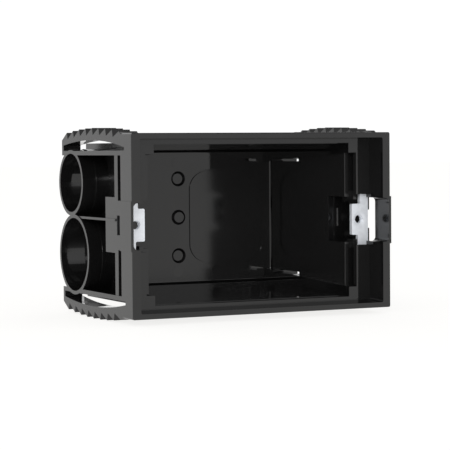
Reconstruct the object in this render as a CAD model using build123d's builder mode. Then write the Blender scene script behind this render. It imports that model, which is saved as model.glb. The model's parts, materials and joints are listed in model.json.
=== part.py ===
from build123d import *
import os
from math import radians, sqrt, tan

# A flush wall box for a single switch plate, in millimetres.
# X runs along the box, +Y goes into the wall and +Z is up.
# The origin is the centre of the front rim, in the plane that the switch plate covers.

# Front rim, and the ledge at the back of its recess
screw_spacing = 84.0
screw_to_rim_end = 6.0
rim_height = 60.0
rim_depth = 9.3
rim_corner = 0.6
rim_edge = 0.35
rim_end_wall = 2.9
rim_side_wall = 1.8
recess_corner = 0.6
recess_draft = 3.0
ledge_depth = 8.5
ledge_thickness = 2.0
ledge_end_inset = 1.8
ledge_side_inset = 1.4
ledge_end_land = 5.6
ledge_side_land = 1.75

# Drafted cavity behind the ledge, with walls of even thickness
cavity_end_step = 2.4
cavity_depth = 66.5
cavity_end_draft = 0.7
cavity_side_draft = 2.42
cavity_corner = 1.2
wall = 1.6
back_wall = 1.7
back_edge = 0.8
ridge_half_height = 27.0
ridge_back = 64.7

# Tapered posts in the four corners of the cavity
post_width = 3.0
post_height = 3.35
post_draft = 3.2

# Thin-walled relief in each end of the rim, in front of the nut plate
relief_height = 15.1
relief_wall = 0.9
relief_corner = 1.5
bulge = 0.4
bulge_margin = 0.55

# Nut plates, and the slots that they float in
plate_thickness = 1.5
plate_clearance = 0.2
plate_half_height = 10.2
plate_outer_margin = 3.4
plate_window_height = 17.5
tongue_height = 10.7
tongue_reach = 3.0
short_ear_start = 0.2
long_ear_start = -0.6
plate_corner = 0.45
tapped_hole_radius = 1.55
burr_wall = 0.85
burr_length = 1.2
dish_width = 1.25
dish_depth = 0.35
pad_width = 1.4
pad_height = 3.0
pad_gap = 1.55
nib_width = 0.9
nib_height = 0.7
nib_length = 2.4

# Flange across each end, with the hollow block that the plate screw runs into
flange_thickness = 2.8
flange_inset = 0.3
block_step = 0.75
block_height = 18.3
block_depth = 9.8
block_wall = 1.3
screw_notch_height = 6.4

# Webs that tie the rim to the end walls, above and below
web_drop = 5.6
web_thickness = 1.5
web_back = 62.1

# Serrated spring arms that grip the sides of the wall opening
arm_width = 6.4
arm_bow = 2.1
arm_radius = 200.0
arm_middle = 34.0
arm_gap_front = 6.0
arm_gap_front_rise = 1.1
arm_gap_rise = 3.55
arm_gap_back_rise = 1.9
arm_leg = 1.5
arm_tail_rise = 3.7
tooth_count = 9
tooth_pitch = 5.85
tooth_depth = 2.4
tooth_face = 0.7
last_tooth_inset = 4.9

# Conduit sockets on the left end, for two sizes of conduit
small_bore_radius = 10.1
large_bore_radius = 12.6
socket_wall = 1.25
socket_back_inset = 2.9
small_socket_rise = 0.35
large_socket_drop = 0.7
socket_stop = 1.2
socket_root_length = 4.4
socket_root_step = 0.3
rib_thickness = 0.8

# Gate mark, dimples and knock-out outline on the back wall
mark_radius = 2.75
mark_flat_radius = 1.9
mark_depth = 0.6
mark_spacing = 14.0
mark_offset = -1.5
panel_width = 30.3
panel_height = 34.8
panel_corner = 7.5
panel_centre = 17.5
groove_width = 0.8
groove_depth = 0.4

# Slits through the right end, and the braces outside it
slit_length = 15.0
slit_height = 0.9
slit_depth = 52.4
slit_inset = 4.1
brace_reach = 5.7
brace_height = 4.0

# Places that follow from the sizes above
ends = (-1, 1)
sides = (-1, 1)
screw_reach = screw_spacing / 2
half_width = screw_reach + screw_to_rim_end
half_height = rim_height / 2
ledge_back = ledge_depth + ledge_thickness
slot_depth = plate_thickness + 2 * plate_clearance
plate_front = ledge_back + plate_clearance
flange_front = ledge_back + slot_depth
flange_back = flange_front + flange_thickness
flange_reach = half_width - flange_inset
block_reach = flange_reach - block_step
block_back = flange_back + block_depth
box_back = cavity_depth + back_wall
relief_reach = half_width + bulge - relief_wall
bulge_height = relief_height + 2 * bulge_margin
recess_slope = ledge_depth * tan(radians(recess_draft))
recess_width = 2 * (half_width - rim_end_wall)
recess_height = 2 * (half_height - rim_side_wall)
ledge_width = recess_width - 2 * recess_slope
ledge_height = recess_height - 2 * recess_slope
opening_width = recess_width - 2 * ledge_end_land
opening_height = recess_height - 2 * ledge_side_land
web_top = half_height - web_drop
web_root = web_top - web_thickness
gap_back = web_back - arm_leg


def front_plane(depth):
    """Plane parallel to the rim: sketch x runs along X and sketch y along Z."""
    return Plane.XZ.offset(-depth)


def end_plane(reach):
    """Plane across the length of the box: sketch x runs along Y and sketch y along Z."""
    return Plane.YZ.offset(reach)


def cavity_half_width(depth):
    """Half the width of the cavity at a depth, between its drafted end walls."""
    return opening_width / 2 - cavity_end_step - (depth - ledge_depth) * tan(radians(cavity_end_draft))


def cavity_half_height(depth):
    """Half the height of the cavity at a depth, between its drafted floor and ceiling."""
    return opening_height / 2 - (depth - ledge_depth) * tan(radians(cavity_side_draft))


def post_reach(depth):
    """Distances along X and Z from the centre line to the inner corner of a post."""
    grown = (depth - ledge_depth) * tan(radians(post_draft))
    return opening_width / 2 - post_width - grown, opening_height / 2 - post_height - grown


def crest_height(depth):
    """Height of the bowed line through the tooth tips, at a depth."""
    bow_drop = arm_radius - sqrt(arm_radius**2 - (depth - arm_middle) ** 2)
    return half_height + arm_bow - bow_drop


def arm_outline(side):
    """Corners of one arm: from the rim, tooth by tooth, to the leg at its back."""
    corners = [(ledge_depth, web_root), (ledge_depth, half_height - rim_edge), (rim_depth, half_height)]
    for tooth in range(tooth_count - 1, -1, -1):
        tip = web_back - last_tooth_inset - tooth * tooth_pitch
        corners.append((tip, crest_height(tip)))
        if tooth > 0:
            notch = tip + tooth_pitch - tooth_face
            corners.append((notch, crest_height(notch) - tooth_depth))
    corners.append((web_back, web_top + arm_tail_rise))
    corners.append((web_back, web_root))
    return [(depth, side * height) for depth, height in corners]


small_socket_radius = small_bore_radius + socket_wall
large_socket_radius = large_bore_radius + socket_wall
socket_back = box_back - socket_back_inset
sockets = (
    (socket_back - small_socket_radius, web_top + small_socket_rise - small_socket_radius, small_bore_radius),
    (socket_back - large_socket_radius, large_socket_radius - large_socket_drop - web_top, large_bore_radius),
)
end_wall_inside = cavity_half_width(cavity_depth)
end_wall_outside = cavity_half_width(ledge_depth) + wall

with BuildPart() as box_body:
    # Drafted shell of the box, solid for now, with a rounded back edge
    with BuildSketch(front_plane(ledge_depth)):
        RectangleRounded(
            2 * (cavity_half_width(ledge_depth) + wall),
            2 * (cavity_half_height(ledge_depth) + wall),
            cavity_corner + wall,
        )
    with BuildSketch(front_plane(box_back)):
        RectangleRounded(
            2 * (cavity_half_width(cavity_depth) + wall),
            2 * (cavity_half_height(cavity_depth) + wall),
            cavity_corner + wall,
        )
    loft()
    fillet(box_body.faces().sort_by(Axis.Y)[-1].edges(), back_edge)

    # End walls, which stand out above and below the drafted sides
    for end in ends:
        with BuildSketch(end_plane(end * end_wall_inside)):
            with Locations(((ledge_back + ridge_back) / 2, 0)):
                Rectangle(ridge_back - ledge_back, 2 * ridge_half_height)
        extrude(amount=end * wall)

    # Outer lip of the rim with an eased front edge
    with BuildSketch(front_plane(0)):
        RectangleRounded(2 * half_width, 2 * half_height, rim_corner)
    extrude(amount=-rim_depth)
    fillet(box_body.faces().sort_by(Axis.Y)[0].edges(), rim_edge)

    # Bulge on each end of the lip, round the relief
    with BuildSketch(front_plane(0)):
        Rectangle(2 * (half_width + bulge), bulge_height)
    extrude(amount=-rim_depth)

    # Spring arms, with teeth that slope towards the back so that the box slides in and stays
    for end in ends:
        for side in sides:
            with BuildSketch(end_plane(end * half_width)):
                with BuildLine():
                    Polyline(*arm_outline(side), close=True)
                make_face()
            extrude(amount=-end * arm_width)

    # Webs above and below each end wall
    for end in ends:
        for side in sides:
            with BuildSketch(end_plane(end * half_width)):
                with Locations(((ledge_depth + web_back) / 2, side * (web_top + web_root) / 2)):
                    Rectangle(web_back - ledge_depth, web_thickness)
            extrude(amount=-end * (half_width - end_wall_inside))

    # Bowed gap that lets each arm spring towards its web
    for end in ends:
        for side in sides:
            gap_start = (arm_gap_front, side * (web_top + arm_gap_front_rise))
            gap_middle = ((arm_gap_front + gap_back) / 2, side * (web_top + arm_gap_rise))
            gap_end = (gap_back, side * (web_top + arm_gap_back_rise))
            with BuildSketch(end_plane(end * (half_width + bulge))):
                with BuildLine():
                    ThreePointArc(gap_start, gap_middle, gap_end)
                    Polyline(gap_end, (gap_back, side * web_top), (arm_gap_front, side * web_top), gap_start)
                make_face()
            extrude(amount=-end * (arm_width + bulge), mode=Mode.SUBTRACT)

    # Inner block of the rim, which ends in the ledge
    with BuildSketch(front_plane(rim_edge)):
        RectangleRounded(
            2 * (half_width - ledge_end_inset), 2 * (half_height - ledge_side_inset), rim_corner
        )
    extrude(amount=-(ledge_back - rim_edge))

    # Flange across each end, set back where it meets the block
    with BuildSketch(front_plane(flange_front)):
        Rectangle(2 * flange_reach, 2 * web_top)
        for end in ends:
            with Locations((end * flange_reach, 0)):
                Rectangle(2 * block_step, bulge_height, mode=Mode.SUBTRACT)
    extrude(amount=-flange_thickness)

    # Hollow block behind each flange, for the end of the plate screw
    with BuildSketch(front_plane(flange_front)):
        Rectangle(2 * block_reach, block_height)
    extrude(amount=-(block_back - flange_front))

    # Braces between the right end wall and its webs
    brace_length = end_wall_outside + brace_reach - end_wall_inside
    with BuildSketch(front_plane(gap_back)):
        for side in sides:
            brace_place = (end_wall_inside + brace_length / 2, side * (web_root - brace_height / 2))
            with Locations(brace_place):
                Rectangle(brace_length, brace_height)
    extrude(amount=-(web_back - gap_back))

    # Conduit sockets, each with a thicker root, and the rib between them and the block
    for depth, height, bore_radius in sockets:
        with BuildSketch(end_plane(-end_wall_inside)):
            with Locations((depth, height)):
                Circle(bore_radius + socket_wall)
        extrude(amount=-(half_width - end_wall_inside))
        with BuildSketch(end_plane(-end_wall_inside)):
            with Locations((depth, height)):
                Circle(bore_radius + socket_wall + socket_root_step)
        extrude(amount=-(end_wall_outside - end_wall_inside + socket_root_length))
    rib_back = sockets[0][0]
    with BuildSketch(end_plane(-end_wall_inside)):
        with Locations(((flange_back + rib_back) / 2, web_top - 2 * small_socket_radius)):
            Rectangle(rib_back - flange_back, rib_thickness)
    extrude(amount=-(flange_reach - end_wall_inside))

    # Recess in front of the ledge
    with BuildSketch(front_plane(0)):
        RectangleRounded(recess_width, recess_height, recess_corner)
    with BuildSketch(front_plane(ledge_depth)):
        RectangleRounded(ledge_width, ledge_height, recess_corner)
    loft(mode=Mode.SUBTRACT)

    # Opening through the ledge, with its corners left in, and the drafted cavity
    with BuildSketch(front_plane(ledge_depth)):
        Rectangle(opening_width, opening_height - 2 * post_height)
        Rectangle(opening_width - 2 * post_width, opening_height)
    extrude(amount=-(flange_front - ledge_depth), mode=Mode.SUBTRACT)
    with BuildSketch(front_plane(ledge_back)):
        RectangleRounded(
            2 * cavity_half_width(ledge_back), 2 * cavity_half_height(ledge_back), cavity_corner
        )
    with BuildSketch(front_plane(cavity_depth)):
        RectangleRounded(
            2 * cavity_half_width(cavity_depth), 2 * cavity_half_height(cavity_depth), cavity_corner
        )
    loft(mode=Mode.SUBTRACT)

    # Relief through each end of the rim, and the window in the ledge that shows the plate
    with BuildSketch(front_plane(-bulge)):
        for end in ends:
            with Locations((end * (relief_reach - relief_height / 4), 0)):
                RectangleRounded(relief_height / 2, relief_height, relief_corner)
    extrude(amount=-(ledge_back + 2 * bulge), mode=Mode.SUBTRACT)
    with BuildSketch(front_plane(ledge_depth)):
        Rectangle(ledge_width, plate_window_height)
    extrude(amount=-ledge_thickness, mode=Mode.SUBTRACT)

    # Slot between the ledge and each flange, open at the end of the box
    slot_inside = end_wall_inside - plate_clearance
    slot_length = half_width + bulge - slot_inside
    with BuildSketch(front_plane(ledge_back)):
        for end in ends:
            with Locations((end * (slot_inside + slot_length / 2), 0)):
                Rectangle(slot_length, 2 * web_root)
    extrude(amount=-slot_depth, mode=Mode.SUBTRACT)

    # Pocket in each block, open to the cavity, and the notch that the screw passes
    with BuildSketch(front_plane(flange_front)):
        Rectangle(2 * (block_reach - block_wall), block_height - 2 * block_wall)
    extrude(amount=-(block_back - block_wall - flange_front), mode=Mode.SUBTRACT)
    with BuildSketch(front_plane(flange_front)):
        Rectangle(2 * half_width, screw_notch_height)
    extrude(amount=-flange_thickness, mode=Mode.SUBTRACT)

    # Conduit bores, each stopped by a smaller hole through the end wall
    for depth, height, bore_radius in sockets:
        with BuildSketch(end_plane(-half_width)):
            with Locations((depth, height)):
                Circle(bore_radius)
        extrude(amount=half_width - end_wall_outside, mode=Mode.SUBTRACT)
        with BuildSketch(end_plane(-half_width)):
            with Locations((depth, height)):
                Circle(bore_radius - socket_stop)
        extrude(amount=half_width - end_wall_inside + wall, mode=Mode.SUBTRACT)

    # Posts in the corners of the cavity, thicker towards the back
    for end in ends:
        for side in sides:
            for depth in (ledge_depth, cavity_depth):
                inner_x, inner_z = post_reach(depth)
                outer_x = cavity_half_width(depth) + wall / 2
                outer_z = cavity_half_height(depth) + wall / 2
                with BuildSketch(front_plane(depth)):
                    with Locations((end * (inner_x + outer_x) / 2, side * (inner_z + outer_z) / 2)):
                        Rectangle(outer_x - inner_x, outer_z - inner_z)
            loft()

    # Pads that guide the tongue of each nut plate
    pad_x = screw_reach + long_ear_start - 2 * plate_clearance - pad_width / 2
    pad_z = tongue_height / 2 + pad_gap + pad_height / 2
    with BuildSketch(front_plane(plate_front)):
        for end in ends:
            for side in sides:
                with Locations((end * pad_x, side * pad_z)):
                    Rectangle(pad_width, pad_height)
    extrude(amount=-(flange_back - plate_front))

    # Nibs that stop each nut plate from sliding out of the end of its slot
    nib_x = screw_reach + plate_outer_margin + 2 * plate_clearance + nib_width / 2
    nib_z = (block_height + nib_length) / 2
    with BuildSketch(front_plane(flange_front - nib_height)):
        for end in ends:
            for side in sides:
                with Locations((end * nib_x, side * nib_z)):
                    Rectangle(nib_width, nib_length)
    extrude(amount=-(flange_back - flange_front + nib_height))

    # Raised gate mark on the back wall, with a dimple above and below it
    with BuildSketch(front_plane(cavity_depth)):
        with Locations((mark_offset, 0)):
            Circle(mark_radius)
    with BuildSketch(front_plane(cavity_depth - mark_depth)):
        with Locations((mark_offset, 0)):
            Circle(mark_flat_radius)
    loft()
    for side in sides:
        with BuildSketch(front_plane(cavity_depth)):
            with Locations((mark_offset, side * mark_spacing)):
                Circle(mark_radius)
        with BuildSketch(front_plane(cavity_depth + mark_depth)):
            with Locations((mark_offset, side * mark_spacing)):
                Circle(mark_flat_radius)
        loft(mode=Mode.SUBTRACT)

    # Grooved outline of the knock-out in the back wall
    with BuildSketch(front_plane(cavity_depth)):
        with Locations((panel_centre, 0)):
            RectangleRounded(panel_width, panel_height, panel_corner)
            RectangleRounded(
                panel_width - 2 * groove_width,
                panel_height - 2 * groove_width,
                panel_corner - groove_width,
                mode=Mode.SUBTRACT,
            )
    extrude(amount=-groove_depth, mode=Mode.SUBTRACT)

    # Two slits through the right end wall, beside the posts
    slit_z = cavity_half_height(slit_depth) - slit_inset
    with BuildSketch(end_plane(post_reach(cavity_depth)[0])):
        for side in sides:
            with Locations((slit_depth, side * slit_z)):
                SlotOverall(slit_length, slit_height)
    extrude(amount=end_wall_outside - post_reach(cavity_depth)[0], mode=Mode.SUBTRACT)

box_body.part.label = "box_body"

# Corners of the right nut plate about its screw hole, as seen from the front
plate_outline = (
    (plate_outer_margin, plate_half_height),
    (short_ear_start, plate_half_height),
    (short_ear_start, tongue_height / 2),
    (-tongue_reach, tongue_height / 2),
    (-tongue_reach, -tongue_height / 2),
    (long_ear_start, -tongue_height / 2),
    (long_ear_start, -plate_half_height),
    (plate_outer_margin, -plate_half_height),
)

nut_plates = {}
for name, end in (("left_nut_plate", -1), ("right_nut_plate", 1)):
    # The left plate is the right one turned half round in its own plane
    face_plane = Plane(origin=(end * screw_reach, plate_front, 0), x_dir=(end, 0, 0), z_dir=(0, -1, 0))
    with BuildPart() as nut_plate:
        # Stamped plate with a tongue and two uneven ears
        with BuildSketch(face_plane) as plate_face:
            with BuildLine():
                Polyline(*plate_outline, close=True)
            make_face()
            fillet(plate_face.vertices(), plate_corner)
        extrude(amount=-plate_thickness)

        # Collar of metal that the punched hole pushes out at the back
        with BuildSketch(face_plane.offset(-plate_thickness / 2)):
            Circle(tapped_hole_radius + burr_wall)
        extrude(amount=-(plate_thickness / 2 + burr_length))

        # Dished mouth at the front, and the hole for the plate screw
        with BuildSketch(face_plane):
            Circle(tapped_hole_radius + dish_width)
        with BuildSketch(face_plane.offset(-dish_depth)):
            Circle(tapped_hole_radius)
        loft(mode=Mode.SUBTRACT)
        with BuildSketch(face_plane):
            Circle(tapped_hole_radius)
        extrude(amount=-(plate_thickness + burr_length), mode=Mode.SUBTRACT)
    nut_plate.part.label = name
    nut_plates[name] = nut_plate.part

os.makedirs("parts", exist_ok=True)
export_step(box_body.part, "parts/box_body.step")
for name, nut_plate_solid in nut_plates.items():
    export_step(nut_plate_solid, f"parts/{name}.step")
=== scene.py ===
import json
from math import ceil, pi, radians, sin

import bmesh
import bpy
from bpy.props import FloatProperty, FloatVectorProperty, IntProperty, PointerProperty
from mathutils import Matrix, Vector


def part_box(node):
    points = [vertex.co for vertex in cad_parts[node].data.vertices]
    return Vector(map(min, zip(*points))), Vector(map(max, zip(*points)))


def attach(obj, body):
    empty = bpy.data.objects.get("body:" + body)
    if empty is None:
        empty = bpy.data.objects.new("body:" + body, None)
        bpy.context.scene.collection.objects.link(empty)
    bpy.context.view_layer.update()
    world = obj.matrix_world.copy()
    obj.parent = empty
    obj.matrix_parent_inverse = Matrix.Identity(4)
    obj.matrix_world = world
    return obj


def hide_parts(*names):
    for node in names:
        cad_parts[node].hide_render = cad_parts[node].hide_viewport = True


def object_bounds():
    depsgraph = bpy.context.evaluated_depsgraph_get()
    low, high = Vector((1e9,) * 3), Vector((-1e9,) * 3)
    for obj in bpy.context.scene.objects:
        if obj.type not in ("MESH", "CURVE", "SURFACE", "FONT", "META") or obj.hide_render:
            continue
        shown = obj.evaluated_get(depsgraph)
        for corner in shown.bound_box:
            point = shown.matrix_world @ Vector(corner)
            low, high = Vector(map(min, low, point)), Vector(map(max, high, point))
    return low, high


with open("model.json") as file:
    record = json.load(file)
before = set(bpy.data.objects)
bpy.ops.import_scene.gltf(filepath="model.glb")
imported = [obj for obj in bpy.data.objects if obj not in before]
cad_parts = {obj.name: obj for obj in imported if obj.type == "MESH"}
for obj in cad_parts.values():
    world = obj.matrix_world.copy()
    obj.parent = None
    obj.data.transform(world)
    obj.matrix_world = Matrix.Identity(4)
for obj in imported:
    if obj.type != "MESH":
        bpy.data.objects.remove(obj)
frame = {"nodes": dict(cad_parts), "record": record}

bl_info = {
    "name": "Wall Box Finish",
    "version": (1, 0, 0),
    "blender": (4, 5, 0),
    "location": "3D View > Sidebar > Wall Box",
    "description": "Finishes a flush wall box: eased edges, threads, moulding marks, surfaces and a studio",
    "category": "Object",
}

MM = 0.001
RECORD = frame["record"]
NODES = frame["nodes"]
MOUNTS = {mount["name"]: mount for mount in RECORD["mounts"]}
CAD_LOW, CAD_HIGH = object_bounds()
SCREW_REACH = MOUNTS["plate_screws"]["dims"]["spacing_x_mm"] * MM / 2
HOLE_RADIUS = MOUNTS["plate_screws"]["dims"]["hole_r_mm"] * MM
CURVE_ANGLE = radians(30)


class HousingSizes(bpy.types.PropertyGroup):
    """Sizes of the housing's eased edges and of its polished cavity."""

    edge_radius: FloatProperty(
        name="Edge radius",
        description="How far each sharp edge of the moulding is eased",
        default=0.22 * MM,
        unit="LENGTH",
        precision=5,
    )
    corner_radius: FloatProperty(
        name="Corner radius",
        description="Radius of the long inner corners of the cavity",
        default=0.7 * MM,
        unit="LENGTH",
        precision=5,
    )
    smooth_angle: FloatProperty(
        name="Smooth angle",
        description="Faces that meet at less than this are shaded as one surface",
        default=radians(32),
        subtype="ANGLE",
    )
    cavity_front: FloatProperty(
        name="Cavity front",
        description="Depth behind the rim at which the polished core begins",
        default=0.1 * MM,
        unit="LENGTH",
        precision=5,
    )
    cavity_half_width: FloatProperty(
        name="Cavity half width",
        description="Half the width of the space that the polished core fills",
        default=45.6 * MM,
        unit="LENGTH",
        precision=5,
    )
    cavity_half_height: FloatProperty(
        name="Cavity half height",
        description="Half the height of the space that the polished core fills",
        default=28.3 * MM,
        unit="LENGTH",
        precision=5,
    )


class MarkSizes(bpy.types.PropertyGroup):
    """Sizes and places of the faint round marks that the mould's ejector pins leave."""

    radius: FloatProperty(
        name="Radius", description="Radius of each ejector mark", default=2.0 * MM, unit="LENGTH", precision=5
    )
    height: FloatProperty(
        name="Height",
        description="How far each mark stands proud of the back wall",
        default=0.05 * MM,
        unit="LENGTH",
        precision=5,
    )
    spacing: FloatVectorProperty(
        name="Spacing",
        description="Distance between marks along the box and up it",
        default=(15.9 * MM, 39.5 * MM),
        size=2,
        unit="LENGTH",
        precision=5,
    )
    first: FloatProperty(
        name="First mark",
        description="Place along the box of the leftmost pair of marks",
        default=-1.9 * MM,
        unit="LENGTH",
        precision=5,
    )
    columns: IntProperty(name="Columns", description="Pairs of marks along the box", default=3, min=1, max=6)


class PlateSizes(bpy.types.PropertyGroup):
    """Sizes of the nut plates' eased edges and of the thread in their holes."""

    edge_radius: FloatProperty(
        name="Edge radius",
        description="How far the stamping rounds the plate's edges",
        default=0.12 * MM,
        unit="LENGTH",
        precision=5,
    )
    thread_pitch: FloatProperty(
        name="Thread pitch",
        description="Distance from one turn of the thread to the next",
        default=0.6 * MM,
        unit="LENGTH",
        precision=5,
    )
    thread_depth: FloatProperty(
        name="Thread depth",
        description="How far the thread stands in from the wall of the hole",
        default=0.13 * MM,
        unit="LENGTH",
        precision=5,
    )
    thread_steps: IntProperty(
        name="Steps in a turn",
        description="Straight pieces in one turn of the thread",
        default=28,
        min=12,
        max=64,
    )


class FinishColours(bpy.types.PropertyGroup):
    """Colours and gloss of the plastic and of the zinc plate."""

    plastic: FloatVectorProperty(
        name="Plastic",
        description="Colour of the moulded plastic",
        default=(0.0070, 0.0069, 0.0070),
        size=3,
        min=0.0,
        max=1.0,
        subtype="COLOR",
    )
    plastic_bloom: FloatVectorProperty(
        name="Plastic bloom",
        description="Colour of the faint grey bloom where the plastic flowed",
        default=(0.0094, 0.0093, 0.0094),
        size=3,
        min=0.0,
        max=1.0,
        subtype="COLOR",
    )
    outside_roughness: FloatProperty(
        name="Outside roughness",
        description="Roughness of the plastic on the outside of the box",
        default=0.12,
        min=0.0,
        max=1.0,
    )
    end_roughness: FloatProperty(
        name="End roughness",
        description="Roughness of the faces that look along the box, where the mould is ground",
        default=0.26,
        min=0.0,
        max=1.0,
    )
    cavity_roughness: FloatProperty(
        name="Cavity roughness",
        description="Roughness of the plastic inside, where the mould is polished",
        default=0.03,
        min=0.0,
        max=1.0,
    )
    steel: FloatVectorProperty(
        name="Plated steel",
        description="Colour of the zinc plate on the nut plates",
        default=(0.86, 0.89, 0.94),
        size=3,
        min=0.0,
        max=1.0,
        subtype="COLOR",
    )
    steel_roughness: FloatProperty(
        name="Steel roughness",
        description="Roughness of the zinc plate",
        default=0.5,
        min=0.0,
        max=1.0,
    )
    steel_metallic: FloatProperty(
        name="Steel metallic",
        description="Share of mirror-like metal in the zinc plate; the rest is its grey bloom",
        default=0.2,
        min=0.0,
        max=1.0,
    )


class StudioSizes(bpy.types.PropertyGroup):
    """Where the camera and the soft box stand, and how bright the studio is."""

    camera_place: FloatVectorProperty(
        name="Camera place",
        description="Place of the camera's lens",
        default=(-0.27207, -0.52820, 0.02421),
        size=3,
        subtype="TRANSLATION",
        unit="LENGTH",
        precision=5,
    )
    camera_turn: FloatProperty(
        name="Turn", description="Turn of the camera to the right", default=radians(25.949), subtype="ANGLE"
    )
    camera_dip: FloatProperty(
        name="Dip", description="Tilt of the camera below level", default=radians(2.381), subtype="ANGLE"
    )
    camera_roll: FloatProperty(
        name="Roll",
        description="Roll of the camera about its own axis",
        default=radians(-0.465),
        subtype="ANGLE",
    )
    lens: FloatProperty(name="Lens", description="Focal length of the camera", default=143.65, unit="CAMERA")
    floor_span: FloatProperty(
        name="Floor span", description="Length of each side of the floor", default=12.0, unit="LENGTH"
    )
    floor_glow: FloatProperty(
        name="Floor glow",
        description="Light that the floor sends out by itself",
        default=0.83,
        min=0.0,
        max=2.0,
    )
    floor_colour: FloatVectorProperty(
        name="Floor colour",
        description="Colour of the floor's own light",
        default=(1.0, 0.995, 0.98),
        size=3,
        min=0.0,
        max=1.0,
        subtype="COLOR",
    )
    tent_strength: FloatProperty(
        name="Tent strength",
        description="Brightness of the light tent at the height of the box",
        default=1.03,
        min=0.0,
    )
    tent_top: FloatProperty(
        name="Tent top",
        description="Brightness overhead, as a share of that at the sides",
        default=0.28,
        min=0.0,
    )
    box_direction: FloatVectorProperty(
        name="Soft box direction",
        description="Direction from the sockets to the soft box",
        default=(-0.437, -0.86, 0.27),
        size=3,
        subtype="DIRECTION",
    )
    box_distance: FloatProperty(
        name="Soft box distance",
        description="Distance from the sockets to the soft box",
        default=1.2,
        unit="LENGTH",
    )
    box_size: FloatVectorProperty(
        name="Soft box size",
        description="Width and height of the soft box",
        default=(0.3, 0.22),
        size=2,
        unit="LENGTH",
    )
    box_brightness: FloatProperty(
        name="Soft box brightness", description="Brightness of the soft box's face", default=13.0, min=0.0
    )


def select_only(piece):
    """Makes one object the only selected one, and the active one."""
    if bpy.context.mode != "OBJECT":
        bpy.ops.object.mode_set(mode="OBJECT")
    bpy.ops.object.select_all(action="DESELECT")
    piece.select_set(True)
    bpy.context.view_layer.objects.active = piece


def apply_modifiers(piece):
    """Applies every modifier of a piece, in order."""
    select_only(piece)
    for modifier in list(piece.modifiers):
        bpy.ops.object.modifier_apply(modifier=modifier.name)


def apply_place(piece):
    """Moves a piece's place, turn and size into its mesh."""
    select_only(piece)
    bpy.ops.object.transform_apply(location=True, rotation=True, scale=True)


def finish_piece(piece, body, slot, *nodes):
    """Seats a finished piece on its body and hides its CAD nodes; the slot is not used."""
    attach(piece, body)
    if nodes:
        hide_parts(*nodes)


def clean_copy(node_name, piece_name):
    """A copy of a CAD node with its triangles joined, and flat faces made whole."""
    merge_distance = 0.002 * MM
    flat_angle = radians(0.4)
    piece = bpy.data.objects.new(piece_name, NODES[node_name].data.copy())
    bpy.context.scene.collection.objects.link(piece)
    piece.data.name = piece_name
    piece.data.materials.clear()
    select_only(piece)
    bpy.ops.mesh.customdata_custom_splitnormals_clear()
    bpy.ops.object.mode_set(mode="EDIT")
    bpy.ops.mesh.select_all(action="SELECT")
    bpy.ops.mesh.remove_doubles(threshold=merge_distance)
    bpy.ops.mesh.dissolve_limited(angle_limit=flat_angle)
    bpy.ops.object.mode_set(mode="OBJECT")
    return piece


def round_edges(piece, radius, segments, chosen):
    """Rounds the edges of a piece that a test picks."""
    select_only(piece)
    bpy.ops.object.mode_set(mode="EDIT")
    bpy.ops.mesh.select_mode(type="EDGE")
    bpy.ops.mesh.select_all(action="DESELECT")
    mesh = bmesh.from_edit_mesh(piece.data)
    picked = [edge for edge in mesh.edges if len(edge.link_faces) == 2 and chosen(edge)]
    if not picked:
        raise RuntimeError(f"{piece.name} has no edge to round")
    for edge in picked:
        edge.select_set(True)
    bmesh.update_edit_mesh(piece.data)
    bpy.ops.mesh.bevel(
        offset=radius, offset_type="OFFSET", segments=segments, profile=0.5, clamp_overlap=True
    )
    bpy.ops.object.mode_set(mode="OBJECT")


def ease_edges(piece, radius):
    """Rounds the sharp edges of a piece that have room for it."""
    sharp_angle = radians(38)
    room = 2.3 * radius

    def chosen(edge):
        neighbours = [near for corner in edge.verts for near in corner.link_edges]
        sharp = edge.calc_face_angle(0.0) >= sharp_angle
        return sharp and min(near.calc_length() for near in neighbours) > room

    round_edges(piece, radius, 2, chosen)


def round_corners(piece, radius, low, high):
    """Rounds the long inner corners of a piece whose middles lie between two points."""
    square_angle = radians(80)
    shortest = 30 * MM

    def chosen(edge):
        middle = (edge.verts[0].co + edge.verts[1].co) / 2
        between = all(low[axis] < middle[axis] < high[axis] for axis in range(3))
        hollow = edge.calc_face_angle_signed(0.0) <= -square_angle
        return between and hollow and edge.calc_length() > shortest

    round_edges(piece, radius, 3, chosen)


def smooth_faces(piece, angle):
    """Shades gentle bends as one surface and keeps flat faces flat."""
    large_face_weight = 80
    select_only(piece)
    bpy.ops.object.shade_smooth_by_angle(angle=angle)
    weighted = piece.modifiers.new("flat_faces", "WEIGHTED_NORMAL")
    weighted.keep_sharp = True
    weighted.weight = large_face_weight
    apply_modifiers(piece)


def new_group(name, inputs, outputs):
    """An empty shader node group with named sockets, and its two end nodes."""
    group = bpy.data.node_groups.new(name, "ShaderNodeTree")
    for label, kind, value in inputs:
        socket = group.interface.new_socket(label, in_out="INPUT", socket_type=kind)
        socket.default_value = value
    for label, kind in outputs:
        group.interface.new_socket(label, in_out="OUTPUT", socket_type=kind)
    start = group.nodes.new("NodeGroupInput")
    end = group.nodes.new("NodeGroupOutput")
    return group, start, end


def math_node(tree, operation, first, second):
    """A Math node that takes sockets or plain numbers."""
    node = tree.nodes.new("ShaderNodeMath")
    node.operation = operation
    for place, value in enumerate((first, second)):
        if isinstance(value, (int, float)):
            node.inputs[place].default_value = value
        else:
            tree.links.new(value, node.inputs[place])
    return node.outputs["Value"]


def noise_node(tree, vector, scale, detail, distortion):
    """A noise texture whose scale comes from a socket."""
    node = tree.nodes.new("ShaderNodeTexNoise")
    node.inputs["Detail"].default_value = detail
    node.inputs["Distortion"].default_value = distortion
    tree.links.new(vector, node.inputs["Vector"])
    tree.links.new(scale, node.inputs["Scale"])
    return node.outputs["Fac"]


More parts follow.
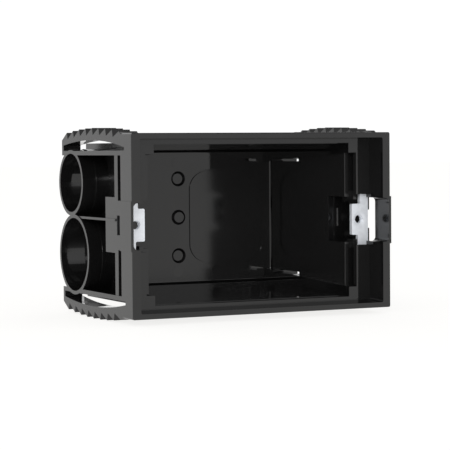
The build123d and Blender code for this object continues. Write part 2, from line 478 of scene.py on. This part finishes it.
def stretched_coordinates(tree, stretch, turn=(0.0, 0.0, 0.0)):
    """Object coordinates, turned and stretched so that a pattern runs in streaks."""
    coordinates = tree.nodes.new("ShaderNodeTexCoord")
    mapping = tree.nodes.new("ShaderNodeMapping")
    mapping.inputs["Rotation"].default_value = turn
    mapping.inputs["Scale"].default_value = stretch
    tree.links.new(coordinates.outputs["Object"], mapping.inputs["Vector"])
    return mapping.outputs["Vector"]


def surface_group():
    """Cloudy variation of colour and gloss, with a fine grain, shared by plastic and steel."""
    group, start, end = new_group(
        "clouded_surface",
        (
            ("Colour", "NodeSocketColor", (0.5, 0.5, 0.5, 1.0)),
            ("Cloud Colour", "NodeSocketColor", (0.6, 0.6, 0.6, 1.0)),
            ("Roughness", "NodeSocketFloat", 0.3),
            ("Roughness Spread", "NodeSocketFloat", 0.1),
            ("Cloud Scale", "NodeSocketFloat", 60.0),
            ("Grain Scale", "NodeSocketFloat", 2500.0),
        ),
        (("Colour", "NodeSocketColor"), ("Roughness", "NodeSocketFloat"), ("Height", "NodeSocketFloat")),
    )
    noise_middle, clear_below, clouded_above = 0.5, 0.42, 0.68
    along = stretched_coordinates(group, (1.0, 0.45, 1.0))
    cloud = noise_node(group, along, start.outputs["Cloud Scale"], detail=3.0, distortion=1.1)
    grain = noise_node(group, along, start.outputs["Grain Scale"], detail=2.0, distortion=0.0)
    ramp = group.nodes.new("ShaderNodeMapRange")
    ramp.inputs["From Min"].default_value = clear_below
    ramp.inputs["From Max"].default_value = clouded_above
    group.links.new(cloud, ramp.inputs["Value"])
    mix = group.nodes.new("ShaderNodeMix")
    mix.data_type = "RGBA"
    group.links.new(ramp.outputs["Result"], mix.inputs["Factor"])
    group.links.new(start.outputs["Colour"], mix.inputs["A"])
    group.links.new(start.outputs["Cloud Colour"], mix.inputs["B"])
    centred = math_node(group, "SUBTRACT", cloud, noise_middle)
    spread = math_node(group, "MULTIPLY", centred, start.outputs["Roughness Spread"])
    rough = math_node(group, "ADD", spread, start.outputs["Roughness"])
    group.links.new(mix.outputs["Result"], end.inputs["Colour"])
    group.links.new(rough, end.inputs["Roughness"])
    group.links.new(grain, end.inputs["Height"])
    return group


def streak_group():
    """Fine streaks in two directions, as mould polishing and sheet rolling leave them."""
    group, start, end = new_group(
        "fine_streaks",
        (
            ("Height", "NodeSocketFloat", 0.0),
            ("Amount", "NodeSocketFloat", 0.2),
            ("Streak Scale", "NodeSocketFloat", 900.0),
        ),
        (("Height", "NodeSocketFloat"),),
    )
    along_y = stretched_coordinates(group, (1.0, 0.04, 1.0))
    along_z = stretched_coordinates(group, (1.0, 1.0, 0.05), turn=(0.03, 0.06, 0.02))
    first = noise_node(group, along_y, start.outputs["Streak Scale"], detail=4.0, distortion=0.2)
    second = noise_node(group, along_z, start.outputs["Streak Scale"], detail=3.0, distortion=0.4)
    both = math_node(group, "MULTIPLY", first, second)
    scaled = math_node(group, "MULTIPLY", both, start.outputs["Amount"])
    raised = math_node(group, "ADD", scaled, start.outputs["Height"])
    group.links.new(raised, end.inputs["Height"])
    return group


def new_surface(name, values, streaks, bump_strength):
    """A material whose colour, gloss and bump come from the shared groups."""
    bump_distance = 0.02 * MM
    surface_tree, streak_tree = shared_groups()
    material = bpy.data.materials.new(name)
    material.use_nodes = True
    tree = material.node_tree
    shader = tree.nodes["Principled BSDF"]
    clouded = tree.nodes.new("ShaderNodeGroup")
    clouded.node_tree = surface_tree
    for label, value in values.items():
        clouded.inputs[label].default_value = value
    streaked = tree.nodes.new("ShaderNodeGroup")
    streaked.node_tree = streak_tree
    for label, value in streaks.items():
        streaked.inputs[label].default_value = value
    bump = tree.nodes.new("ShaderNodeBump")
    bump.inputs["Strength"].default_value = bump_strength
    bump.inputs["Distance"].default_value = bump_distance
    tree.links.new(clouded.outputs["Colour"], shader.inputs["Base Color"])
    tree.links.new(clouded.outputs["Roughness"], shader.inputs["Roughness"])
    tree.links.new(clouded.outputs["Height"], streaked.inputs["Height"])
    tree.links.new(streaked.outputs["Height"], bump.inputs["Height"])
    tree.links.new(bump.outputs["Normal"], shader.inputs["Normal"])
    return material, shader


def opaque(colour):
    """A colour with its alpha."""
    return (colour[0], colour[1], colour[2], 1.0)


def shared_groups():
    """The two shader node groups, made once."""
    made = bpy.data.node_groups
    surface = made.get("clouded_surface") or surface_group()
    streaks = made.get("fine_streaks") or streak_group()
    return surface, streaks


def black_plastic(name, finish, roughness, streak_amount):
    """Black thermoplastic as it leaves the mould."""
    values = {
        "Colour": opaque(finish.plastic),
        "Cloud Colour": opaque(finish.plastic_bloom),
        "Roughness": roughness,
        "Roughness Spread": 0.05,
        "Cloud Scale": 45.0,
        "Grain Scale": 2600.0,
    }
    streaks = {"Amount": streak_amount, "Streak Scale": 700.0}
    material, shader = new_surface(name, values, streaks, bump_strength=0.12)
    shader.inputs["IOR"].default_value = 1.5
    return material


def zinc_plate(finish):
    """Bright zinc plate over rolled steel sheet."""
    bright_spots = 1.07
    values = {
        "Colour": opaque(finish.steel),
        "Cloud Colour": opaque([min(1.0, bright_spots * part) for part in finish.steel]),
        "Roughness": finish.steel_roughness,
        "Roughness Spread": 0.25,
        "Cloud Scale": 420.0,
        "Grain Scale": 5200.0,
    }
    streaks = {"Amount": 0.6, "Streak Scale": 1500.0}
    material, shader = new_surface("zinc_plate", values, streaks, bump_strength=0.3)
    shader.inputs["Metallic"].default_value = finish.steel_metallic
    return material


class WALLBOX_OT_housing(bpy.types.Operator):
    """Finishes the moulded housing, with eased edges and a polished cavity"""

    bl_idname = "wallbox.housing"
    bl_label = "Moulded housing"

    def execute(self, context):
        sizes, finish = context.scene.wallbox_housing, context.scene.wallbox_finish
        piece = clean_copy("box_body", "moulded_housing")
        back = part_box("box_body")[1].y
        half_width, half_height, corner_reach = 37.0 * MM, 24.5 * MM, 5.0 * MM
        low, high = (-half_width, back - corner_reach, -half_height), (half_width, back, half_height)
        round_corners(piece, sizes.corner_radius, low, high)
        ease_edges(piece, sizes.edge_radius)
        smooth_faces(piece, sizes.smooth_angle)
        for name, roughness, streak_amount in (
            ("outside_plastic", finish.outside_roughness, 0.5),
            ("cavity_plastic", finish.cavity_roughness, 0.9),
            ("end_plastic", finish.end_roughness, 0.3),
        ):
            piece.data.materials.append(black_plastic(name, finish, roughness, streak_amount))
        outside, cavity, ends = range(3)
        for face in piece.data.polygons:
            if self.polished(face, sizes):
                face.material_index = cavity
            elif self.on_end(face):
                face.material_index = ends
            else:
                face.material_index = outside
        finish_piece(piece, "box", "black_plastic", "box_body")
        return {"FINISHED"}

    def polished(self, face, sizes):
        """True for the faces that the polished core of the mould forms."""
        across, depth, up = face.center
        inside = abs(across) < sizes.cavity_half_width and abs(up) < sizes.cavity_half_height
        return inside and depth > sizes.cavity_front and not self.outer(face)

    def outer(self, face):
        """True for the faces behind the rim that look away from the cavity."""
        rim_depth = 12 * MM
        facing_back = 0.5
        across, depth, up = face.center
        outward = across * face.normal.x > 0 or up * face.normal.z > 0 or face.normal.y > facing_back
        return depth > rim_depth and outward

    def on_end(self, face):
        """True for the faces square to the box's length that look away from its middle."""
        square = 0.95
        return face.center.x * face.normal.x > 0 and abs(face.normal.x) > square


class WALLBOX_OT_ejector_marks(bpy.types.Operator):
    """Adds the round marks of the ejector pins to the back wall of the cavity"""

    bl_idname = "wallbox.ejector_marks"
    bl_label = "Ejector marks"

    def execute(self, context):
        sizes = context.scene.wallbox_marks
        rim_points = 40
        wall = self.back_wall()
        places = [
            (sizes.first + column * sizes.spacing[0], wall, side * sizes.spacing[1] / 2)
            for column in range(sizes.columns)
            for side in (-1, 1)
        ]
        bpy.ops.object.select_all(action="DESELECT")
        bpy.ops.mesh.primitive_cylinder_add(
            vertices=rim_points,
            radius=sizes.radius,
            depth=2 * sizes.height,
            location=places[0],
            rotation=(pi / 2, 0, 0),
        )
        discs = [bpy.context.active_object]
        for place in places[1:]:
            select_only(discs[0])
            bpy.ops.object.duplicate()
            copy = bpy.context.active_object
            copy.location = place
            discs.append(copy)
        select_only(discs[0])
        for disc in discs:
            disc.select_set(True)
        bpy.ops.object.join()
        marks = discs[0]
        marks.name = "ejector_marks"
        marks.data.name = "ejector_marks"
        apply_place(marks)
        bpy.ops.object.shade_smooth_by_angle(angle=CURVE_ANGLE)
        marks.data.materials.append(bpy.data.materials["cavity_plastic"])
        finish_piece(marks, "box", "black_plastic")
        return {"FINISHED"}

    def back_wall(self):
        """Depth of the largest flat face that looks out of the cavity."""
        square = 0.99
        deep = 0.8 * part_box("box_body")[1].y
        faces = bpy.data.objects["moulded_housing"].data.polygons
        inner = [face for face in faces if face.normal.y < -square and face.center.y > deep]
        if not inner:
            raise RuntimeError("The housing has no back wall for the ejector marks")
        return max(inner, key=lambda face: face.area).center.y


class WALLBOX_OT_nut_plates(bpy.types.Operator):
    """Finishes the two nut plates and puts the threads in their holes"""

    bl_idname = "wallbox.nut_plates"
    bl_label = "Nut plates and threads"

    def execute(self, context):
        sizes, smooth_angle = context.scene.wallbox_plates, context.scene.wallbox_housing.smooth_angle
        steel = zinc_plate(context.scene.wallbox_finish)
        for side, end in (("left", -1), ("right", 1)):
            node = f"{side}_nut_plate"
            piece = clean_copy(node, f"{side}_steel_plate")
            ease_edges(piece, sizes.edge_radius)
            smooth_faces(piece, smooth_angle)
            piece.data.materials.append(steel)
            finish_piece(piece, f"{side}_plate", "plated_steel", node)
            thread = self.thread(f"{side}_plate_thread", node, end, sizes)
            thread.data.materials.append(steel)
            finish_piece(thread, f"{side}_plate", "plated_steel")
        return {"FINISHED"}

    def thread(self, name, node, end, sizes):
        """A helical ridge inside the hole, from the plate's dish to the end of its collar."""
        low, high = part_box(node)
        dish_depth = 0.35 * MM
        start = low.y + dish_depth
        length = high.y - start - sizes.thread_pitch
        turns = ceil(length / sizes.thread_pitch)
        ridge_radius = sizes.thread_depth
        ridge_place = HOLE_RADIUS - 0.2 * ridge_radius
        bpy.ops.object.select_all(action="DESELECT")
        bpy.ops.mesh.primitive_circle_add(
            vertices=3, radius=ridge_radius, location=(0, 0, 0), rotation=(0, 0, pi / 2)
        )
        ridge = bpy.context.active_object
        ridge.name = name
        ridge.data.name = name
        apply_place(ridge)
        bpy.ops.object.mode_set(mode="EDIT")
        bpy.ops.mesh.select_all(action="SELECT")
        bpy.ops.transform.translate(value=(ridge_place, 0, 0))
        bpy.ops.object.mode_set(mode="OBJECT")
        ridge.location = (end * SCREW_REACH, start, 0)
        screw = ridge.modifiers.new("thread", "SCREW")
        screw.axis = "Y"
        screw.angle = 2 * pi
        screw.iterations = turns
        screw.screw_offset = length / turns
        screw.steps = sizes.thread_steps
        screw.render_steps = sizes.thread_steps
        screw.use_merge_vertices = True
        apply_modifiers(ridge)
        apply_place(ridge)
        bpy.ops.object.mode_set(mode="EDIT")
        bpy.ops.mesh.select_all(action="SELECT")
        bpy.ops.mesh.fill_holes(sides=4)
        bpy.ops.mesh.normals_make_consistent(inside=False)
        bpy.ops.object.mode_set(mode="OBJECT")
        bpy.ops.object.shade_smooth_by_angle(angle=CURVE_ANGLE)
        return ridge


class WALLBOX_OT_studio(bpy.types.Operator):
    """Lays the pale floor, sets up the light tent with its soft box, and the camera"""

    bl_idname = "wallbox.studio"
    bl_label = "Studio"

    def execute(self, context):
        studio = context.scene.wallbox_studio
        self.floor(studio)
        self.light(context, studio)
        self.soft_box(studio)
        self.camera(context, studio)
        return {"FINISHED"}

    def floor(self, studio):
        """A plain pale floor just under the lowest teeth, with some light of its own."""
        albedo = 0.35
        bpy.ops.object.select_all(action="DESELECT")
        bpy.ops.mesh.primitive_plane_add(size=studio.floor_span, location=(0, 0, CAD_LOW.z))
        floor = bpy.context.active_object
        floor.name = "studio_floor"
        pale = bpy.data.materials.new("pale_floor")
        pale.use_nodes = True
        shader = pale.node_tree.nodes["Principled BSDF"]
        shader.inputs["Base Color"].default_value = opaque((albedo, albedo, albedo))
        shader.inputs["Roughness"].default_value = 0.9
        shader.inputs["Specular IOR Level"].default_value = 0.0
        shader.inputs["Emission Color"].default_value = opaque(studio.floor_colour)
        shader.inputs["Emission Strength"].default_value = studio.floor_glow
        floor.data.materials.append(pale)

    def light(self, context, studio):
        """White light from all round, as in a light tent with a weaker top."""
        tent = bpy.data.worlds.new("light_tent")
        tent.use_nodes = True
        background = tent.node_tree.nodes["Background"]
        background.inputs["Color"].default_value = (1.0, 1.0, 1.0, 1.0)
        share = self.overhead_share(tent.node_tree, studio.tent_top)
        strength = math_node(tent.node_tree, "MULTIPLY", share, studio.tent_strength)
        tent.node_tree.links.new(strength, background.inputs["Strength"])
        context.scene.world = tent
        context.scene.view_settings.view_transform = "Standard"

    def overhead_share(self, tree, top_share):
        """One around the box, falling to the top's share of it overhead."""
        fade_from, fade_to = sin(radians(18)), sin(radians(48))
        direction = tree.nodes.new("ShaderNodeTexCoord")
        parts = tree.nodes.new("ShaderNodeSeparateXYZ")
        tree.links.new(direction.outputs["Generated"], parts.inputs["Vector"])
        ramp = tree.nodes.new("ShaderNodeMapRange")
        ramp.interpolation_type = "SMOOTHSTEP"
        ramp.inputs["From Min"].default_value = fade_from
        ramp.inputs["From Max"].default_value = fade_to
        ramp.inputs["To Min"].default_value = 1.0
        ramp.inputs["To Max"].default_value = top_share
        tree.links.new(parts.outputs["Z"], ramp.inputs["Value"])
        return ramp.outputs["Result"]

    def soft_box(self, studio):
        """One soft box beside the camera, which puts the highlights on the sockets and edges."""
        toward = Vector(studio.box_direction).normalized()
        aim = Vector((CAD_LOW.x, CAD_HIGH.y / 2, 0.0))
        width, height = studio.box_size
        bpy.ops.object.light_add(type="AREA", location=aim + toward * studio.box_distance)
        lamp = bpy.context.active_object
        lamp.name = "soft_box"
        lamp.rotation_euler = toward.to_track_quat("Z", "Y").to_euler()
        lamp.data.shape = "RECTANGLE"
        lamp.data.size = width
        lamp.data.size_y = height
        lamp.data.energy = studio.box_brightness * pi * width * height

    def camera(self, context, studio):
        """The camera, turned, dipped and rolled as it stood for the photograph."""
        bpy.ops.object.camera_add(location=studio.camera_place)
        camera = bpy.context.active_object
        camera.name = "studio_camera"
        turned = Matrix.Rotation(-studio.camera_turn, 4, "Z")
        dipped = Matrix.Rotation(pi / 2 - studio.camera_dip, 4, "X")
        rolled = Matrix.Rotation(studio.camera_roll, 4, "Z")
        camera.rotation_euler = (turned @ dipped @ rolled).to_euler()
        camera.data.lens = studio.lens
        camera.data.sensor_width = 36.0
        camera.data.clip_start = 0.01
        camera.data.clip_end = 50.0
        context.scene.camera = camera


class WALLBOX_PT_panel(bpy.types.Panel):
    """The wall box's own panel in the sidebar"""

    bl_idname = "WALLBOX_PT_panel"
    bl_label = "Wall Box"
    bl_space_type = "VIEW_3D"
    bl_region_type = "UI"
    bl_category = "Wall Box"

    def draw(self, context):
        for operator in OPERATORS:
            self.layout.operator(operator.bl_idname)
        for group in SETTINGS:
            settings = getattr(context.scene, group)
            box = self.layout.box()
            for label in settings.bl_rna.properties.keys():
                if label not in {"rna_type", "name"}:
                    box.prop(settings, label)


SETTINGS = {
    "wallbox_housing": HousingSizes,
    "wallbox_marks": MarkSizes,
    "wallbox_plates": PlateSizes,
    "wallbox_finish": FinishColours,
    "wallbox_studio": StudioSizes,
}
OPERATORS = (WALLBOX_OT_housing, WALLBOX_OT_ejector_marks, WALLBOX_OT_nut_plates, WALLBOX_OT_studio)


def register():
    """Adds the settings, the operators and the panel to Blender."""
    for kind in (*SETTINGS.values(), *OPERATORS, WALLBOX_PT_panel):
        bpy.utils.register_class(kind)
    for label, kind in SETTINGS.items():
        setattr(bpy.types.Scene, label, PointerProperty(type=kind))


def unregister():
    """Takes them out again."""
    for label in SETTINGS:
        delattr(bpy.types.Scene, label)
    for kind in reversed((*SETTINGS.values(), *OPERATORS, WALLBOX_PT_panel)):
        bpy.utils.unregister_class(kind)


def main():
    """Makes the finished box."""
    register()
    bpy.ops.wallbox.housing()
    bpy.ops.wallbox.ejector_marks()
    bpy.ops.wallbox.nut_plates()
    bpy.ops.wallbox.studio()


if __name__ == "__main__":
    main()
